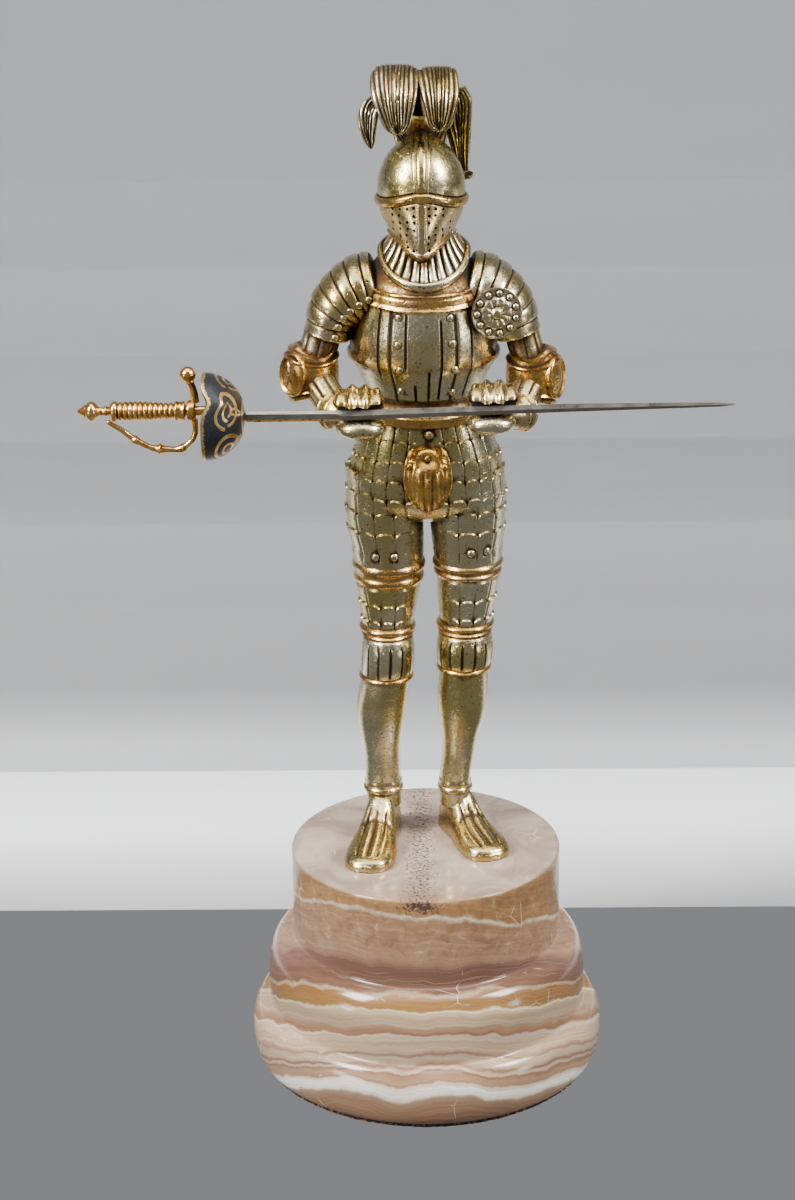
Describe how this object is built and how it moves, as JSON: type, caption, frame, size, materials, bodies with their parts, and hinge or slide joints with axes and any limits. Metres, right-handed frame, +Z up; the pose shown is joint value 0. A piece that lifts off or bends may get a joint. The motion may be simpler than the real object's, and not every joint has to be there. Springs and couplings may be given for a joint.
{
  "type": "armour statue",
  "caption": "Cast knight in plate and scale armour, holding a letter-opener sword across the waist, on a turned onyx plinth with a cork pad.",
  "frame": {"origin": "centre of the plinth's underside", "axes": "+Z up, the knight faces -Y, and the sword lies along X with its hilt at -X"},
  "size_m": [0.1983, 0.1162, 0.3281],
  "materials": {
    "cork": "dark pressed cork",
    "onyx": "polished banded brown onyx",
    "aged_brass": "antiqued brass, dark in the hollows and rubbed bright on the high places",
    "blade_steel": "aged satin steel",
    "black_enamel": "black enamel with gilt scrolls",
    "gilt_brass": "worn gilding"
  },
  "bodies": {
    "root": {"cork_pad": "cork", "onyx_plinth": "onyx", "knight_figure": "aged_brass", "sword_blade": "blade_steel", "sword_cup_guard": "black_enamel", "sword_grip": "gilt_brass", "sword_knuckle_bow": "gilt_brass"}
  },
  "joints": []
}
